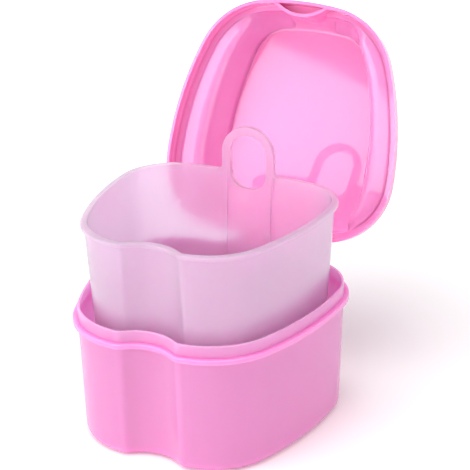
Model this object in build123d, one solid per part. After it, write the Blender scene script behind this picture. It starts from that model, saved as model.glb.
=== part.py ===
from build123d import *
from dataclasses import dataclass
from math import cos, hypot, radians, sin, sqrt
import os

os.makedirs("parts", exist_ok=True)

# A denture bath: a tub with a finger notch at the front, a strainer basket of the same outline that is
# lifted out by its arched handle, and a lid on a moulded snap hinge at the back.
# Millimetres. The origin is the middle of the base on the table, +Z is up and the notch faces -Y.
# The basket stands lifted and the lid stands open; both are modelled shut and then moved there.

# Mouth of the tub: the plan outline outside its rim, symmetric about X = 0
# The front corner fills in from the end of the front arc; the back corner's radius is the half width
# less BACK_SPAN
MOUTH_HALF_WIDTH = 45.5
MOUTH_LENGTH = 88.0
WIDEST_Y = 17.5
FRONT_RADIUS = 110.0
FRONT_ARC_REACH = 15.8
SIDE_RADIUS = 120.0
BACK_SPAN = 22.0
BACK_RADIUS = 200.0

# Finger notch at the front
NOTCH_HALF_WIDTH = 11.0
NOTCH_DEPTH = 4.9
NOTCH_SHOULDER_RADIUS = 4.5
NOTCH_FLARE = 0.1
SHOULDER_FLARE = 0.3

# Tub
TUB_HEIGHT = 50.0
TUB_WALL = 1.2
TUB_FLOOR = 2.0
TUB_DRAFT = 1.7
TUB_BASE_ROUND = 3.6
RIM_ROUND = 0.35
NECK_HEIGHT = 4.3
NECK_DRAFT = 0.35
LEDGE_HEIGHT = 1.9
LEDGE_WIDTH = 1.6

# Lid
LID_WALL = 1.2
LID_OVERHANG = 1.8
LID_SKIRT_DEPTH = 5.0
LID_SKIRT_TAPER = 0.4
LID_SHOULDER = 2.0
LID_CROWN_HEIGHT = 14.0
PANEL_SIDE_MARGIN = 16.0
PANEL_WIDEST_Y = 12.5
PANEL_FRONT_MARGIN = 8.0
PANEL_BACK_MARGIN = 5.0
PANEL_CORNER_RADIUS = 12.0
PANEL_RECESS = 0.3
SPLASH_RIB = 1.2
BEAD_HEIGHT = 1.6
BEAD_DEPTH = 0.3
BEAD_FRONT_X = 21.5
BEAD_BACK_X = 36.0

# Hinge: ears on the tub, one knuckle with two pins on the lid
HINGE_OFFSET = 7.0
HINGE_DROP = 4.4
PIN_RADIUS = 1.5
KNUCKLE_RADIUS = 2.8
KNUCKLE_WIDTH = 18.0
EAR_RADIUS = 3.3
EAR_WIDTH = 5.0
LID_OPEN_ANGLE = 112.0

# Basket
BASKET_HEIGHT = 42.2
BASKET_INSET = 2.7
BASKET_WALL = 1.2
BASKET_DRAFT = 2.6
BASKET_BASE_ROUND = 6.0
LIP_WIDTH = 1.2
LIP_HEIGHT = 1.8
BASKET_LIFT = 37.0
HANDLE_HALF_WIDTH = 10.5
HANDLE_HEIGHT = 17.9
HANDLE_THICKNESS = 1.8
HANDLE_FOOT_RADIUS = 2.5
GRIP_HALF_WIDTH = 7.4
GRIP_TOP = 15.0
GRIP_BELOW_RIM = 6.3
GRIP_LOWER_RADIUS = 6.0
STIFFENER_WIDTH = 1.6
STIFFENER_DEPTH = 0.8
DRAIN_RADIUS = 2.0
DRAIN_PITCH = 11.0
DRAIN_MARGIN = 5.0

# Clearances
SEAT_GAP = 0.3
SIDE_GAP = 0.3
NECK_GAP = 0.6
PIN_GAP = 0.08

# Heights and places that follow from them
MOUTH_FRONT_Y = -MOUTH_LENGTH / 2
MOUTH_BACK_Y = MOUTH_LENGTH / 2
BACK_CORNER_RADIUS = MOUTH_HALF_WIDTH - BACK_SPAN
PANEL_HALF_WIDTH = MOUTH_HALF_WIDTH - PANEL_SIDE_MARGIN
LEDGE_TOP = TUB_HEIGHT - NECK_HEIGHT
LEDGE_BOTTOM = LEDGE_TOP - LEDGE_HEIGHT
LID_RIM = LEDGE_TOP + SEAT_GAP
LID_SHOULDER_Z = LID_RIM + LID_SKIRT_DEPTH
PANEL_Z = LID_SHOULDER_Z + LID_CROWN_HEIGHT
HINGE_Y = MOUTH_BACK_Y + HINGE_OFFSET
HINGE_Z = TUB_HEIGHT - HINGE_DROP
HINGE_AXIS = Axis((0, HINGE_Y, HINGE_Z), (1, 0, 0))
BASKET_SEAT = TUB_FLOOR + SEAT_GAP
BASKET_RIM = BASKET_SEAT + BASKET_HEIGHT
ROUND_STEPS = (0, 22.5, 45, 67.5, 90)
CROWN_STEPS = (0, 18, 36, 54, 72, 90)
EMBED = 0.6


@dataclass
class Plan:
    """Half of a plan outline: front arc, front corner, bowed side, back corner and back arc, all tangent."""

    half_width: float
    widest_y: float
    front_y: float
    back_y: float
    front_radius: float
    front_corner: float
    side_radius: float
    back_corner: float
    back_radius: float
    grown_by: float = 0.0

    def grown(self, by):
        """The outline a distance outside this one (inside it when negative): every arc keeps its centre."""
        return Plan(
            self.half_width + by,
            self.widest_y,
            self.front_y - by,
            self.back_y + by,
            self.front_radius + by,
            self.front_corner + by,
            self.side_radius + by,
            self.back_corner + by,
            self.back_radius + by,
            self.grown_by + by,
        )

    def blended(self, other, share):
        """The outline that lies the given share of the way from this one to the other."""
        pairs = zip(vars(self).values(), vars(other).values())
        return Plan(*(mine + share * (theirs - mine) for mine, theirs in pairs))

    def circles(self):
        """Centre and radius of each arc, front to back."""
        front = ((0, self.front_y + self.front_radius), self.front_radius)
        side = ((self.half_width - self.side_radius, self.widest_y), self.side_radius)
        back = ((0, self.back_y - self.back_radius), self.back_radius)
        front_corner = inner_circle(front, side, self.front_corner)
        back_corner = inner_circle(side, back, self.back_corner)
        return [front, front_corner, side, back_corner, back]

    def notch(self):
        """The notch's circle and the small shoulder circle that blends it into the front arc."""
        half_width = NOTCH_HALF_WIDTH - NOTCH_FLARE * self.grown_by
        sag = self.front_radius - sqrt(self.front_radius**2 - half_width**2)
        depth = NOTCH_DEPTH - sag
        radius = (half_width**2 + depth**2) / (2 * depth)
        centre = (0, self.front_y + NOTCH_DEPTH - radius)
        shoulder_radius = NOTCH_SHOULDER_RADIUS + SHOULDER_FLARE * self.grown_by
        shoulder = crossing(
            (0, self.front_y + self.front_radius),
            self.front_radius - shoulder_radius,
            centre,
            radius + shoulder_radius,
        )
        return (centre, radius), (shoulder, shoulder_radius)


def crossing(centre_a, radius_a, centre_b, radius_b):
    """Where two circles cross, on the +X side."""
    dx = centre_b[0] - centre_a[0]
    dy = centre_b[1] - centre_a[1]
    apart = hypot(dx, dy)
    along = (radius_a**2 - radius_b**2 + apart**2) / (2 * apart)
    across = sqrt(radius_a**2 - along**2)
    foot = (centre_a[0] + along * dx / apart, centre_a[1] + along * dy / apart)
    choices = [
        (foot[0] - side * across * dy / apart, foot[1] + side * across * dx / apart)
        for side in (1, -1)
    ]
    return max(choices)


def inner_circle(first, second, radius):
    """The corner circle that touches two larger circles from inside."""
    return crossing(first[0], first[1] - radius, second[0], second[1] - radius), radius


def on_circle(centre, radius, towards):
    """The point of a circle that lies in the direction of another point."""
    dx = towards[0] - centre[0]
    dy = towards[1] - centre[1]
    reach = radius / hypot(dx, dy)
    return (centre[0] + reach * dx, centre[1] + reach * dy)


def touch(big, small):
    """Where a small circle touches a larger one from inside."""
    return on_circle(big[0], big[1], small[0])


def outline(plan, z, notched=True):
    """The face that a plan outline encloses at height z."""
    front, front_corner, side, back_corner, back = plan.circles()
    joints = [touch(front, front_corner), touch(side, front_corner), touch(side, back_corner)]
    joints.append(touch(back, back_corner))
    circles = [front_corner, side, back_corner]
    if notched:
        notch, shoulder = plan.notch()
        notch_end = on_circle(shoulder[0], shoulder[1], notch[0])
        joints = [notch_end, touch(front, shoulder)] + joints
        circles = [shoulder, front] + circles
        middle_front = (0, notch[0][1] + notch[1])
    else:
        middle_front = (0, plan.front_y)
    arcs = []
    for start, end, (centre, radius) in zip(joints, joints[1:], circles):
        halfway = ((start[0] + end[0]) / 2, (start[1] + end[1]) / 2)
        arcs.append((start, on_circle(centre, radius, halfway), end))
    mirrored = [tuple((-x, y) for x, y in reversed(arc)) for arc in reversed(arcs)]
    first, last = joints[0], joints[-1]
    ring = [((-first[0], first[1]), middle_front, first)]
    ring += arcs + [(last, (0, plan.back_y), (-last[0], last[1]))] + mirrored
    edges = [ThreePointArc(*[(x, y, z) for x, y in arc]) for arc in ring]
    return Face(Wire(edges))


def drafted(lower, upper, notched=True):
    """A straight-sided solid between two (plan, height) levels."""
    return loft([outline(plan, z, notched) for plan, z in (lower, upper)], ruled=True)


def rounded_bottom(plan, radius, z):
    """A rounded underside of the given radius that ends in a plan outline at its top."""
    levels = []
    for turn in ROUND_STEPS:
        inset = radius * (1 - cos(radians(turn)))
        levels.append(outline(plan.grown(-inset), z + radius * (1 - sin(radians(turn)))))
    return loft(levels)


def vessel(plan_at, floor, top, radius):
    """A drafted solid with a rounded underside; plan_at gives its outline at a height."""
    shoulder = floor + radius
    straight = drafted((plan_at(shoulder), shoulder), (plan_at(top), top))
    return straight + rounded_bottom(plan_at(shoulder), radius, floor)


def slab(plan, low, high, notched=True):
    """A plan outline drawn straight up between two heights."""
    return extrude(outline(plan, low, notched), amount=high - low, dir=(0, 0, 1))


def edges_at(solid, z):
    """The edges that lie flat at height z."""
    return solid.edges().filter_by_position(Axis.Z, z - 0.01, z + 0.01)


def bar(radius, x_from, x_to):
    """A round bar on the hinge line."""
    return Pos((x_from + x_to) / 2, HINGE_Y, HINGE_Z) * Cylinder(radius, x_to - x_from, rotation=(0, 90, 0))


def plate(points, x_from, x_to):
    """A flat plate across the hinge line, from its (y, z) corners."""
    face = Plane.YZ.offset(x_from) * make_face(Polyline(*points, close=True))
    return extrude(face, amount=x_to - x_from)


def front_corner_radius():
    """The radius of the corner that starts at the end of the front arc and runs smoothly into the side."""
    ahead = sqrt(FRONT_RADIUS**2 - FRONT_ARC_REACH**2)
    across = SIDE_RADIUS - MOUTH_HALF_WIDTH
    along = MOUTH_FRONT_Y + FRONT_RADIUS - WIDEST_Y
    flatter = SIDE_RADIUS - FRONT_RADIUS
    sway = (across * FRONT_ARC_REACH - along * ahead) / FRONT_RADIUS
    return FRONT_RADIUS - (flatter**2 - across**2 - along**2) / (2 * (sway - flatter))


MOUTH = Plan(
    MOUTH_HALF_WIDTH,
    WIDEST_Y,
    MOUTH_FRONT_Y,
    MOUTH_BACK_Y,
    FRONT_RADIUS,
    front_corner_radius(),
    SIDE_RADIUS,
    BACK_CORNER_RADIUS,
    BACK_RADIUS,
)
PANEL = Plan(
    PANEL_HALF_WIDTH,
    PANEL_WIDEST_Y,
    MOUTH_FRONT_Y + PANEL_FRONT_MARGIN,
    MOUTH_BACK_Y - PANEL_BACK_MARGIN,
    FRONT_RADIUS,
    PANEL_CORNER_RADIUS,
    SIDE_RADIUS,
    PANEL_CORNER_RADIUS,
    BACK_RADIUS,
)


def tub_outside(z):
    return MOUTH.grown(-TUB_DRAFT * (TUB_HEIGHT - z) / TUB_HEIGHT)


def tub_inside(z):
    return tub_outside(z).grown(-TUB_WALL)


def hinge_ear(x_from, x_to):
    """One ear: a round eye on the hinge line with a 45 degree gusset down to the back wall."""
    root = MOUTH_BACK_Y - TUB_WALL
    reach = EAR_RADIUS * sin(radians(45))
    toe = (HINGE_Y + reach, HINGE_Z - reach)
    gusset = [(root, LEDGE_TOP), (HINGE_Y, LEDGE_TOP), toe, (root, toe[1] - (toe[0] - root))]
    return bar(EAR_RADIUS, x_from, x_to) + plate(gusset, x_from, x_to)


def make_tub():
    cavity = vessel(tub_inside, TUB_FLOOR, TUB_HEIGHT, TUB_BASE_ROUND - TUB_WALL)
    neck = drafted((tub_outside(LEDGE_TOP), LEDGE_TOP), (MOUTH.grown(-NECK_DRAFT), TUB_HEIGHT))
    shell = vessel(tub_outside, 0, LEDGE_TOP, TUB_BASE_ROUND) + neck - cavity
    shell = fillet(edges_at(shell, TUB_HEIGHT), RIM_ROUND)
    ledge = slab(MOUTH.grown(LEDGE_WIDTH), LEDGE_BOTTOM, LEDGE_TOP)
    ledge = fillet(edges_at(ledge, LEDGE_BOTTOM) + edges_at(ledge, LEDGE_TOP), RIM_ROUND)
    ear_start = KNUCKLE_WIDTH / 2 + SIDE_GAP
    ears = hinge_ear(ear_start, ear_start + EAR_WIDTH) + hinge_ear(-ear_start - EAR_WIDTH, -ear_start)
    bore = bar(PIN_RADIUS + PIN_GAP, -ear_start - EAR_WIDTH, ear_start + EAR_WIDTH)
    return shell + (ledge + ears - cavity) - bore


def crown(shoulder, panel, low, high):
    """The lid's domed top: every upright section is a quarter of an ellipse up to a flat panel."""
    levels = []
    for turn in CROWN_STEPS:
        level = shoulder.blended(panel, 1 - cos(radians(turn)))
        levels.append(outline(level, low + (high - low) * sin(radians(turn)), notched=False))
    return loft(levels)


def splash_rib():
    """The curved rib inside the lid's front that follows the tub's notch."""
    outer = slab(MOUTH.grown(NECK_GAP + SPLASH_RIB), LID_RIM + SEAT_GAP, LID_SHOULDER_Z + EMBED)
    inner = slab(MOUTH.grown(NECK_GAP), LID_RIM + SEAT_GAP, LID_SHOULDER_Z + EMBED)
    reach = NOTCH_HALF_WIDTH + SPLASH_RIB
    window = Pos(0, MOUTH_FRONT_Y, LID_SHOULDER_Z) * Box(2 * reach, 2 * reach, 2 * LID_SHOULDER_Z)
    return (outer - inner) & window


def thumb_recess(low, high):
    """The space in front of the dome where it follows the tub's notch and leaves a flat tab to lift."""
    ahead = slab(MOUTH.grown(LID_OVERHANG), low, high, notched=False)
    return ahead - slab(MOUTH.grown(NECK_GAP + SPLASH_RIB), low, high)


def skirt_inside(z):
    return MOUTH.grown(LID_OVERHANG - LID_WALL - LID_SKIRT_TAPER * (z - LID_RIM) / LID_SKIRT_DEPTH)


def snap_beads():
    """A low ridge inside each side of the skirt that grips the tub's neck."""
    low = TUB_HEIGHT - BEAD_HEIGHT
    third = BEAD_HEIGHT / 3
    crests = [(skirt_inside(z).grown(-BEAD_DEPTH), z) for z in (low + third, low + 2 * third)]
    hollow = drafted((skirt_inside(low), low), crests[0], notched=False)
    hollow += drafted(crests[0], crests[1], notched=False)
    hollow += drafted(crests[1], (skirt_inside(TUB_HEIGHT), TUB_HEIGHT), notched=False)
    band = slab(skirt_inside(low).grown(EMBED), low, TUB_HEIGHT, notched=False) - hollow
    front = Pos(0, MOUTH_FRONT_Y, TUB_HEIGHT) * Box(2 * BEAD_FRONT_X, -2 * MOUTH_FRONT_Y, 2 * BEAD_HEIGHT)
    back = Pos(0, MOUTH_BACK_Y, TUB_HEIGHT) * Box(2 * BEAD_BACK_X, MOUTH_BACK_Y, 2 * BEAD_HEIGHT)
    return band - front - back


def make_lid():
    rim_plan = MOUTH.grown(LID_OVERHANG)
    shoulder_plan = skirt_inside(LID_SHOULDER_Z).grown(-LID_SHOULDER)
    skirt_top = LID_SHOULDER_Z + LID_WALL
    skirt = drafted((rim_plan, LID_RIM), (rim_plan.grown(-LID_SKIRT_TAPER), skirt_top), notched=False)
    skirt = fillet(edges_at(skirt, skirt_top), 2 * LID_WALL)
    outside = crown(shoulder_plan.grown(LID_WALL), PANEL, LID_SHOULDER_Z, PANEL_Z + LID_WALL)
    inside = crown(shoulder_plan, PANEL, LID_SHOULDER_Z, PANEL_Z)
    inside &= slab(MOUTH.grown(NECK_GAP), LID_SHOULDER_Z, PANEL_Z)
    recess = slab(PANEL.grown(-PANEL_RECESS), PANEL_Z - EMBED, PANEL_Z + PANEL_RECESS, notched=False)
    bottom, top = [(skirt_inside(z), z) for z in (LID_RIM, LID_SHOULDER_Z)]
    neck = drafted(bottom, top, notched=False)
    shell = skirt + outside - thumb_recess(skirt_top, PANEL_Z + LID_WALL)
    arm_root = MOUTH_BACK_Y + LID_OVERHANG - LID_WALL
    arm = [(arm_root, LID_RIM), (HINGE_Y, LID_RIM), (HINGE_Y, HINGE_Z + KNUCKLE_RADIUS)]
    arm.append((arm_root, HINGE_Z + KNUCKLE_RADIUS))
    half = KNUCKLE_WIDTH / 2
    pin_reach = half + SIDE_GAP + EAR_WIDTH - SIDE_GAP
    knuckle = bar(KNUCKLE_RADIUS, -half, half) + plate(arm, -half, half)
    lid = shell - inside - recess - neck
    lid += splash_rib() & shell
    lid += snap_beads() + knuckle + bar(PIN_RADIUS, -pin_reach, pin_reach)
    return lid.rotate(HINGE_AXIS, -LID_OPEN_ANGLE)


def basket_outside(z):
    depth = (BASKET_RIM - z) / BASKET_HEIGHT
    return MOUTH.grown(-BASKET_INSET - LIP_WIDTH - BASKET_DRAFT * depth)


def basket_inside(z):
    return basket_outside(z).grown(-BASKET_WALL)


def wall_middle(z):
    return basket_inside(z).grown(BASKET_WALL / 2)


def stiffened_inside(z):
    return basket_inside(z).grown(-STIFFENER_DEPTH)


def stiffeners():
    """Two upright ribs inside the back wall, one under each leg of the handle, that turn onto the floor."""
    half_wall = BASKET_WALL / 2
    layer = vessel(wall_middle, BASKET_SEAT + half_wall, BASKET_RIM, BASKET_BASE_ROUND - half_wall)
    floor = BASKET_SEAT + BASKET_WALL + STIFFENER_DEPTH
    layer -= vessel(stiffened_inside, floor, BASKET_RIM, BASKET_BASE_ROUND - BASKET_WALL - STIFFENER_DEPTH)
    leg_x = (HANDLE_HALF_WIDTH + GRIP_HALF_WIDTH) / 2
    span = Box(STIFFENER_WIDTH, MOUTH_BACK_Y, BASKET_HEIGHT)
    middle_z = BASKET_SEAT + BASKET_HEIGHT / 2
    return [layer & (Pos(side * leg_x, MOUTH_BACK_Y, middle_z) * span) for side in (-1, 1)]


def upright_profile(sketch):
    """A profile in X and Z at the basket's rim, drawn through the back wall."""
    return extrude(Plane.XZ.offset(-2 * MOUTH_BACK_Y) * (Pos(0, BASKET_RIM) * sketch), amount=2 * MOUTH_BACK_Y)


def handle_profile():
    """The arch, standing on the rim with a small fillet at each foot."""
    spring = HANDLE_HEIGHT - HANDLE_HALF_WIDTH
    arch = Pos(0, spring) * Circle(HANDLE_HALF_WIDTH)
    arch += Rectangle(2 * HANDLE_HALF_WIDTH, 2 * spring)
    foot_x = HANDLE_HALF_WIDTH + HANDLE_FOOT_RADIUS
    feet = Pos(0, HANDLE_FOOT_RADIUS / 2) * Rectangle(2 * foot_x, HANDLE_FOOT_RADIUS)
    for side in (-1, 1):
        feet -= Pos(side * foot_x, HANDLE_FOOT_RADIUS) * Circle(HANDLE_FOOT_RADIUS)
    return arch + feet


def grip_profile():
    """The finger hole: round at the top, softly squared where it reaches below the rim."""
    spring = GRIP_TOP - GRIP_HALF_WIDTH
    hole = Pos(0, spring) * Circle(GRIP_HALF_WIDTH)
    height = spring + GRIP_BELOW_RIM
    lower = Pos(0, spring - height / 2) * Rectangle(2 * GRIP_HALF_WIDTH, height)
    lower = fillet(lower.vertices().group_by(Axis.Y)[0], GRIP_LOWER_RADIUS)
    return hole + lower


def clear_of_edges(plan, x, y):
    """How far a point of the floor lies inside the plan outline."""
    (notch_centre, notch_radius), shoulder = plan.notch()
    rooms = [radius - hypot(abs(x) - cx, y - cy) for (cx, cy), radius in plan.circles()[::2]]
    rooms.append(hypot(x - notch_centre[0], y - notch_centre[1]) - notch_radius)
    for index in (1, 3):
        (cx, cy), radius = plan.circles()[index]
        if abs(x) > cx and abs(y) > abs(cy):
            rooms.append(radius - hypot(abs(x) - cx, y - cy))
    return min(rooms)


def drain_holes(plan):
    """Staggered rows of round holes over the flat of the floor."""
    places = []
    for row in range(-4, 5):
        for column in range(-5, 6):
            x = (column + (row % 2) / 2) * DRAIN_PITCH
            y = row * DRAIN_PITCH * sin(radians(60))
            if clear_of_edges(plan, x, y) > DRAIN_MARGIN:
                places.append((x, y))
    drill = Cylinder(DRAIN_RADIUS, 4 * BASKET_WALL)
    return [Pos(x, y, BASKET_SEAT) * drill for x, y in places]


def make_basket():
    body = vessel(basket_outside, BASKET_SEAT, BASKET_RIM, BASKET_BASE_ROUND)
    lip = slab(MOUTH.grown(-BASKET_INSET), BASKET_RIM - LIP_HEIGHT, BASKET_RIM)
    lip = fillet(edges_at(lip, BASKET_RIM - LIP_HEIGHT) + edges_at(lip, BASKET_RIM), LIP_WIDTH / 2)
    inner_round = BASKET_BASE_ROUND - BASKET_WALL
    cavity = vessel(basket_inside, BASKET_SEAT + BASKET_WALL, BASKET_RIM, inner_round)
    low = BASKET_RIM - GRIP_BELOW_RIM
    wall_plan = basket_outside(BASKET_RIM)
    curved = slab(wall_plan, low, BASKET_RIM + HANDLE_HEIGHT)
    curved -= slab(wall_plan.grown(-HANDLE_THICKNESS), low, BASKET_RIM + HANDLE_HEIGHT)
    handle = curved & upright_profile(handle_profile())
    basket = body + lip - cavity
    for stiffener in stiffeners():
        basket += stiffener
    basket += handle
    basket -= upright_profile(grip_profile())
    basket -= drain_holes(basket_inside(BASKET_SEAT).grown(-BASKET_BASE_ROUND))
    return Pos(0, 0, BASKET_LIFT) * basket


for name, maker in (("tub", make_tub), ("lid", make_lid), ("basket", make_basket)):
    piece = maker()
    export_step(piece, os.path.join("parts", name + ".step"))
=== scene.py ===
from math import cos, radians, sin

import bpy
from mathutils import Matrix, Vector


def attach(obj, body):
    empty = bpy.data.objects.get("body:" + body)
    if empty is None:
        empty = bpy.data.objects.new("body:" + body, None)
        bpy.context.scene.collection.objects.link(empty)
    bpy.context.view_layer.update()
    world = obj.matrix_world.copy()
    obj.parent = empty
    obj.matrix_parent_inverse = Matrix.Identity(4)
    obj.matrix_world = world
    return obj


# All lengths are in metres and all angles in degrees, unless a name says otherwise.

# Camera, fitted to the photograph
PHOTO_SIDE_PX = 470
FOCAL_PX = 1700
CAMERA_AZIMUTH = 25.94
CAMERA_ELEVATION = 22.89
CAMERA_ROLL = -0.70
CAMERA_DISTANCE = 0.5999
CAMERA_TARGET = (0.01279, 0.0005, 0.07337)
SENSOR_MM = 36
NEAREST_SEEN = 0.01

# Colours, linear
TUB_PINK = (0.97, 0.26, 0.57)
LID_PINK = (0.94, 0.31, 0.63)
MILK = (0.98, 0.72, 0.94)
PIGMENT_CHANGE = 0.03
MILK_CHANGE = 0.04

# Plastics: how rough they are and how deep light soaks into them. SOAK is each colour's share of the depth.
TUB_ROUGHNESS = 0.2
TUB_DEPTH = 0.01
LID_ROUGHNESS = 0.02
LID_DEPTH = 0.0012
PINK_SOAK = (0.7, 0.65, 0.75)
PINK_ROUGHNESS_SHARE = 0.3
MILK_ROUGHNESS = 0.33
MILK_ROUGHNESS_CHANGE = 0.04
MILK_DEPTH = 0.003
MILK_SOAK = (1.0, 0.8, 1.0)
MILK_TRANSMISSION = 0.66
MILK_ALPHA = 0.85
MILK_COAT = 0.6
MILK_COAT_ROUGHNESS = 0.12

# Noise, in cells per metre
PIGMENT_CELLS = 18
RIPPLE_CELLS = 45
GLOSS_CELLS = 60
GRAIN_CELLS = 2600
RIPPLE_HEIGHT = 0.001
GRAIN_HEIGHT = 0.0001

# The lid as it stands shut: its hinge, a middle line inside it, the height of the flat step inside its skirt
# and the height of its panel
HINGE = (0, 0.051, 0.0456)
LID_OPEN_ANGLE = 112
LID_MIDDLE_Y = 0.008
LID_STEP_Z = 0.051
LID_PANEL_Z = 0.065

# The side walls inside the lid run between these turns from its front. They fade into the plain dome over the
# first and last turns, and where the dome is too narrow for a step.
FIRST_TURN = 10
LAST_TURN = 170
TURN_STEP = 2
FADE_TURNS = 16
NARROW_WALL = 0.0055
WIDE_WALL = 0.009
WALL_THICKNESS = 0.0006
SUNK_AT_ENDS = 0.0004

# A wall's section: how much of its width the flat step and the fillet's corner take up, how far up the rise the
# fillet ends, and how many points each stretch has
STEP_SHARE = 0.35
CORNER_SHARE = 0.61
FILLET_SHARE = 0.25
STEP_POINTS = 4
FILLET_POINTS = 8
RISE_POINTS = 4

# Where the dome is felt for: just over the step, and just under the panel, where the quarter ellipse of the
# dome's section has turned this far
OVER_STEP = 0.0003
UNDER_PANEL = 0.00015
UNDER_PANEL_ANGLE = 81.6

# The world's light, and the floor: its colour, and its own brightness where it is seen, which is FLOOR_LIFT by
# the object, so that the shadow stays, and white from FLOOR_FAR on
AMBIENT = 0.5
FLOOR_SIDE = 3
FLOOR_COLOUR = (0.93, 0.93, 0.93, 1)
FLOOR_ROUGHNESS = 0.9
FLOOR_LIFT = 0.15
FLOOR_NEAR = 0.12
FLOOR_FAR = 0.55
WHITE = (1, 1, 1, 1)

# Lamps: azimuth (0 in front of the object, 90 on its right), elevation, distance, size and watts
LAMPS = {
    "key": (-42, 14.7, 1.0, (0.9, 0.5), 5.4),
    "right": (60, 10, 0.9, (0.6, 0.5), 2.2),
    "top": (-20, 75, 1.2, (0.9, 0.9), 9),
}
LAMP_TARGET = (0, 0, 0.06)

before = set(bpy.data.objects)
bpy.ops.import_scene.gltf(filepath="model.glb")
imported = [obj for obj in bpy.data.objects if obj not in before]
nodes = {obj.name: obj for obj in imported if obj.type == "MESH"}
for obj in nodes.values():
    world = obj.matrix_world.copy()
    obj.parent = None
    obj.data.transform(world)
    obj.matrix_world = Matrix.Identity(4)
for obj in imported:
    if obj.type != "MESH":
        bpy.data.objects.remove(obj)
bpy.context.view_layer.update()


def new_material(name):
    """A material with its node tree and its shader."""
    material = bpy.data.materials.new(name)
    material.use_nodes = True
    tree = material.node_tree
    return material, tree, tree.nodes["Principled BSDF"]


def noise(tree, scale, detail):
    """A noise texture in the piece's own coordinates; the scale is in cells per metre."""
    place = tree.nodes.new("ShaderNodeTexCoord")
    texture = tree.nodes.new("ShaderNodeTexNoise")
    texture.inputs["Scale"].default_value = scale
    texture.inputs["Detail"].default_value = detail
    texture.inputs["Roughness"].default_value = 0.5
    tree.links.new(place.outputs["Object"], texture.inputs["Vector"])
    return texture


def around(tree, texture, middle, change):
    """Maps a noise texture to values about a middle one; the change is the most that it may differ."""
    ramp = tree.nodes.new("ShaderNodeMapRange")
    ramp.inputs["To Min"].default_value = middle - change
    ramp.inputs["To Max"].default_value = middle + change
    tree.links.new(texture.outputs["Fac"], ramp.inputs["Value"])
    return ramp.outputs["Result"]


def moulded_surface(tree, shader, ripple, grain):
    """The bump of a polished mould: slow sink ripples over a very fine skin."""
    slow = tree.nodes.new("ShaderNodeBump")
    slow.inputs["Strength"].default_value = ripple
    slow.inputs["Distance"].default_value = RIPPLE_HEIGHT
    tree.links.new(noise(tree, RIPPLE_CELLS, 2).outputs["Fac"], slow.inputs["Height"])
    fine = tree.nodes.new("ShaderNodeBump")
    fine.inputs["Strength"].default_value = grain
    fine.inputs["Distance"].default_value = GRAIN_HEIGHT
    tree.links.new(noise(tree, GRAIN_CELLS, 3).outputs["Fac"], fine.inputs["Height"])
    tree.links.new(slow.outputs["Normal"], fine.inputs["Normal"])
    tree.links.new(fine.outputs["Normal"], shader.inputs["Normal"])


def tinted(tree, shader, colour, change):
    """The colour with slow, faint changes, as pigment has in a moulding."""
    darker = tuple(channel * (1 - change) for channel in colour)
    mix = tree.nodes.new("ShaderNodeMix")
    mix.data_type = "RGBA"
    mix.inputs["A"].default_value = (*darker, 1)
    mix.inputs["B"].default_value = (*colour, 1)
    tree.links.new(noise(tree, PIGMENT_CELLS, 3).outputs["Fac"], mix.inputs["Factor"])
    tree.links.new(mix.outputs["Result"], shader.inputs["Base Color"])


def pink_plastic(name, colour, roughness, depth):
    """Glossy pink polypropylene that light soaks into, to the depth."""
    material, tree, shader = new_material(name)
    tinted(tree, shader, colour, PIGMENT_CHANGE)
    rough = around(tree, noise(tree, GLOSS_CELLS, 2), roughness, PINK_ROUGHNESS_SHARE * roughness)
    tree.links.new(rough, shader.inputs["Roughness"])
    shader.inputs["IOR"].default_value = 1.5
    shader.inputs["Subsurface Weight"].default_value = 1.0
    shader.inputs["Subsurface Radius"].default_value = PINK_SOAK
    shader.inputs["Subsurface Scale"].default_value = depth
    moulded_surface(tree, shader, ripple=0.04, grain=0.03)
    return material


def milky_plastic(name):
    """Unpigmented polypropylene: what is near behind it shows softly, and what is far only as a blur."""
    material, tree, shader = new_material(name)
    tinted(tree, shader, MILK, MILK_CHANGE)
    rough = around(tree, noise(tree, GLOSS_CELLS, 2), MILK_ROUGHNESS, MILK_ROUGHNESS_CHANGE)
    tree.links.new(rough, shader.inputs["Roughness"])
    shader.inputs["IOR"].default_value = 1.49
    shader.inputs["Transmission Weight"].default_value = MILK_TRANSMISSION
    shader.inputs["Alpha"].default_value = MILK_ALPHA
    shader.inputs["Coat Weight"].default_value = MILK_COAT
    shader.inputs["Coat Roughness"].default_value = MILK_COAT_ROUGHNESS
    shader.inputs["Subsurface Weight"].default_value = 1.0
    shader.inputs["Subsurface Radius"].default_value = MILK_SOAK
    shader.inputs["Subsurface Scale"].default_value = MILK_DEPTH
    moulded_surface(tree, shader, ripple=0.05, grain=0.04)
    return material


def dress(node, material):
    """Gives a solid of the CAD its material."""
    mesh = nodes[node].data
    mesh.materials.clear()
    mesh.materials.append(material)


dress("tub", pink_plastic("tub_pink", TUB_PINK, TUB_ROUGHNESS, TUB_DEPTH))
lid_pink = pink_plastic("lid_pink", LID_PINK, LID_ROUGHNESS, LID_DEPTH)
dress("lid", lid_pink)
dress("basket", milky_plastic("basket_milk"))


def lid_opened(x, y, z):
    """Where a place on the shut lid lies while the lid stands open."""
    hinge = Vector(HINGE)
    turn = Matrix.Rotation(radians(-LID_OPEN_ANGLE), 3, "X")
    return hinge + turn @ (Vector((x, y, z)) - hinge)


def reach(angle, z):
    """How far the inside of the lid lies from its middle line, at a height and an angle from its front."""
    lid = nodes["lid"]
    start = lid_opened(0, LID_MIDDLE_Y, z)
    ahead = lid_opened(sin(angle), LID_MIDDLE_Y - cos(angle), z) - start
    to_lid = lid.matrix_world.inverted()
    hit, place, _, _ = lid.ray_cast(to_lid @ start, to_lid.to_3x3() @ ahead)
    return (lid.matrix_world @ place - start).length if hit else None


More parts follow.
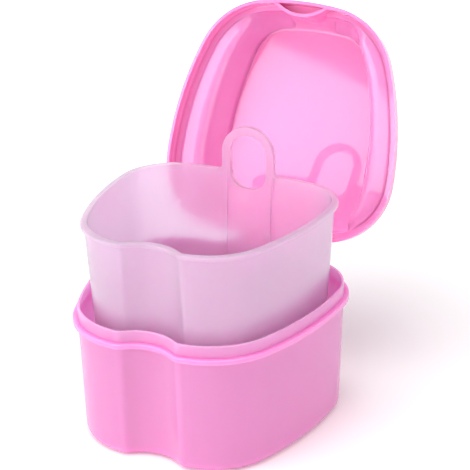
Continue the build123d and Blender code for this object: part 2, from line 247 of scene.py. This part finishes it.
def stepped_section(outer, inner):
    """Points (reach, z) up a wall: a flat step, a soft fillet and a steep rise."""
    width = outer - inner
    step_end = outer - STEP_SHARE * width
    corner = outer - CORNER_SHARE * width
    fillet_end = corner - FILLET_SHARE * (corner - inner)
    fillet_rise = FILLET_SHARE * (LID_PANEL_Z - LID_STEP_Z)
    points = []
    for part in range(STEP_POINTS):
        points.append((outer + (step_end - outer) * part / STEP_POINTS, LID_STEP_Z))
    for part in range(FILLET_POINTS + 1):
        t = part / FILLET_POINTS
        along = (1 - t) ** 2 * step_end + 2 * t * (1 - t) * corner + t * t * fillet_end
        points.append((along, LID_STEP_Z + t * t * fillet_rise))
    fillet_top = LID_STEP_Z + fillet_rise
    for part in range(1, RISE_POINTS + 1):
        t = part / RISE_POINTS
        along = fillet_end + t * (inner - fillet_end)
        points.append((along, fillet_top + t * (LID_PANEL_Z - fillet_top)))
    return points


def wall_section(outer, inner, share):
    """The stepped section, blended with the plain dome's quarter ellipse by its share."""
    stepped = stepped_section(outer, inner)
    section = []
    for index, (along, z) in enumerate(stepped):
        angle = radians(90 * index / (len(stepped) - 1))
        dome_along = outer - (outer - inner) * (1 - cos(angle))
        dome_z = LID_STEP_Z + (LID_PANEL_Z - LID_STEP_Z) * sin(angle)
        section.append((dome_along + share * (along - dome_along), dome_z + share * (z - dome_z)))
    return section


def moved_out(section, amount):
    """The section moved towards the outside of the lid, square to itself."""
    moved = []
    for index, (along, z) in enumerate(section):
        before = section[max(0, index - 1)]
        after = section[min(len(section) - 1, index + 1)]
        slope = Vector((after[0] - before[0], after[1] - before[1])).normalized()
        moved.append((along + slope[1] * amount, z - slope[0] * amount))
    return moved


def wall_ring(side, turn):
    """A closed loop round the wall's section at one turn, or None where there is no room for a wall."""
    angle = radians(side * turn)
    outer = reach(angle, LID_STEP_Z + OVER_STEP)
    near_panel = reach(angle, LID_PANEL_Z - UNDER_PANEL)
    if outer is None or near_panel is None:
        return None
    gone_in = 1 - cos(radians(UNDER_PANEL_ANGLE))
    inner = (near_panel - (1 - gone_in) * outer) / gone_in
    room = (outer - inner - NARROW_WALL) / (WIDE_WALL - NARROW_WALL)
    if room <= 0:
        return None
    from_front = (turn - FIRST_TURN + TURN_STEP) / FADE_TURNS
    from_back = (LAST_TURN + TURN_STEP - turn) / FADE_TURNS
    share = min(1, room, from_front, from_back)
    share = share * share * (3 - 2 * share)
    section = wall_section(outer, inner, share)
    sunk = SUNK_AT_ENDS * (1 - share)
    loop = moved_out(section, sunk) + moved_out(section, sunk + WALL_THICKNESS)[::-1]
    return [lid_opened(far * sin(angle), LID_MIDDLE_Y - far * cos(angle), z) for far, z in loop]


def lid_side_wall(side):
    """A closed shell along one side of the lid's inside: the flat step and the steep wall up to the panel."""
    rings = [wall_ring(side, turn) for turn in range(FIRST_TURN, LAST_TURN + 1, TURN_STEP)]
    rings = [ring for ring in rings if ring]
    if side > 0:
        rings.reverse()  # so that the faces look outwards on both sides
    count = len(rings[0])
    last = (len(rings) - 1) * count
    faces = [tuple(range(count)), tuple(range(last, last + count))[::-1]]
    for low in range(0, last, count):
        high = low + count
        for column in range(count):
            beside = (column + 1) % count
            faces.append((low + column, high + column, high + beside, low + beside))
    mesh = bpy.data.meshes.new("lid_wall")
    mesh.from_pydata([point for ring in rings for point in ring], [], faces)
    mesh.validate()
    mesh.materials.append(lid_pink)
    for polygon in mesh.polygons:
        polygon.use_smooth = len(polygon.vertices) == 4
    piece = bpy.data.objects.new("lid_wall_" + ("right" if side > 0 else "left"), mesh)
    bpy.context.scene.collection.objects.link(piece)
    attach(piece, "lid")


for side in (-1, 1):
    lid_side_wall(side)


def seen_directly(tree):
    """1 where a thing is seen: straight, through the basket or mirrored in gloss. 0 for the light it gives."""
    path = tree.nodes.new("ShaderNodeLightPath")
    seen = path.outputs["Is Camera Ray"]
    for way in ("Is Transmission Ray", "Is Glossy Ray"):
        either = tree.nodes.new("ShaderNodeMath")
        either.operation = "MAXIMUM"
        tree.links.new(seen, either.inputs[0])
        tree.links.new(path.outputs[way], either.inputs[1])
        seen = either.outputs[0]
    return seen


def make_world():
    """Even light from all sides, seen as plain white."""
    world = bpy.data.worlds.new("studio")
    bpy.context.scene.world = world
    world.use_nodes = True
    tree = world.node_tree
    tree.nodes.clear()
    ambient = tree.nodes.new("ShaderNodeBackground")
    ambient.inputs["Color"].default_value = WHITE
    ambient.inputs["Strength"].default_value = AMBIENT
    backdrop = tree.nodes.new("ShaderNodeBackground")
    backdrop.inputs["Color"].default_value = WHITE
    backdrop.inputs["Strength"].default_value = 1.0
    mix = tree.nodes.new("ShaderNodeMixShader")
    out = tree.nodes.new("ShaderNodeOutputWorld")
    tree.links.new(seen_directly(tree), mix.inputs["Fac"])
    tree.links.new(ambient.outputs["Background"], mix.inputs[1])
    tree.links.new(backdrop.outputs["Background"], mix.inputs[2])
    tree.links.new(mix.outputs["Shader"], out.inputs["Surface"])


def make_floor():
    """A plain pale floor that keeps the object's soft shadow and is white away from it."""
    bpy.ops.mesh.primitive_plane_add(size=FLOOR_SIDE)
    floor = bpy.context.object
    floor.name = "floor"
    material, tree, shader = new_material("floor_pale")
    shader.inputs["Base Color"].default_value = FLOOR_COLOUR
    shader.inputs["Roughness"].default_value = FLOOR_ROUGHNESS
    shader.inputs["Specular IOR Level"].default_value = 0.0
    shader.inputs["Emission Color"].default_value = WHITE
    place = tree.nodes.new("ShaderNodeTexCoord")
    distance = tree.nodes.new("ShaderNodeVectorMath")
    distance.operation = "LENGTH"
    tree.links.new(place.outputs["Object"], distance.inputs[0])
    lift = tree.nodes.new("ShaderNodeMapRange")
    lift.interpolation_type = "SMOOTHSTEP"
    lift.inputs["From Min"].default_value = FLOOR_NEAR
    lift.inputs["From Max"].default_value = FLOOR_FAR
    lift.inputs["To Min"].default_value = FLOOR_LIFT
    lift.inputs["To Max"].default_value = 1.0
    tree.links.new(distance.outputs["Value"], lift.inputs["Value"])
    shown = tree.nodes.new("ShaderNodeMath")
    shown.operation = "MULTIPLY"
    tree.links.new(seen_directly(tree), shown.inputs[0])
    tree.links.new(lift.outputs["Result"], shown.inputs[1])
    tree.links.new(shown.outputs[0], shader.inputs["Emission Strength"])
    floor.data.materials.append(material)


def direction(azimuth, elevation):
    """From the object towards an azimuth and elevation."""
    a, e = radians(azimuth), radians(elevation)
    return Vector((sin(a) * cos(e), -cos(a) * cos(e), sin(e)))


def area_lamp(name, azimuth, elevation, distance, size, watts):
    """A soft lamp that faces the object."""
    away = direction(azimuth, elevation)
    lamp = bpy.data.lights.new(name, "AREA")
    lamp.shape = "RECTANGLE"
    lamp.size, lamp.size_y = size
    lamp.energy = watts
    item = bpy.data.objects.new(name, lamp)
    item.location = Vector(LAMP_TARGET) + distance * away
    item.rotation_euler = away.to_track_quat("Z", "Y").to_euler()
    bpy.context.scene.collection.objects.link(item)


def make_camera():
    """The camera at the photograph's angle."""
    roll = radians(CAMERA_ROLL)
    back = direction(CAMERA_AZIMUTH, CAMERA_ELEVATION)
    level_right = (-back).cross(Vector((0, 0, 1))).normalized()
    level_up = level_right.cross(-back)
    right = cos(roll) * level_right + sin(roll) * level_up
    up = -sin(roll) * level_right + cos(roll) * level_up
    data = bpy.data.cameras.new("photo_camera")
    data.sensor_width = SENSOR_MM
    data.lens = FOCAL_PX / PHOTO_SIDE_PX * SENSOR_MM
    data.clip_start = NEAREST_SEEN
    camera = bpy.data.objects.new("photo_camera", data)
    turn = Matrix((right, up, back)).transposed().to_4x4()
    camera.matrix_world = Matrix.Translation(Vector(CAMERA_TARGET) + CAMERA_DISTANCE * back) @ turn
    bpy.context.scene.collection.objects.link(camera)
    bpy.context.scene.camera = camera


make_world()
make_floor()
for lamp_name, placing in LAMPS.items():
    area_lamp(lamp_name, *placing)
make_camera()
bpy.context.scene.view_settings.view_transform = "Standard"

bpy.context.view_layer.update()
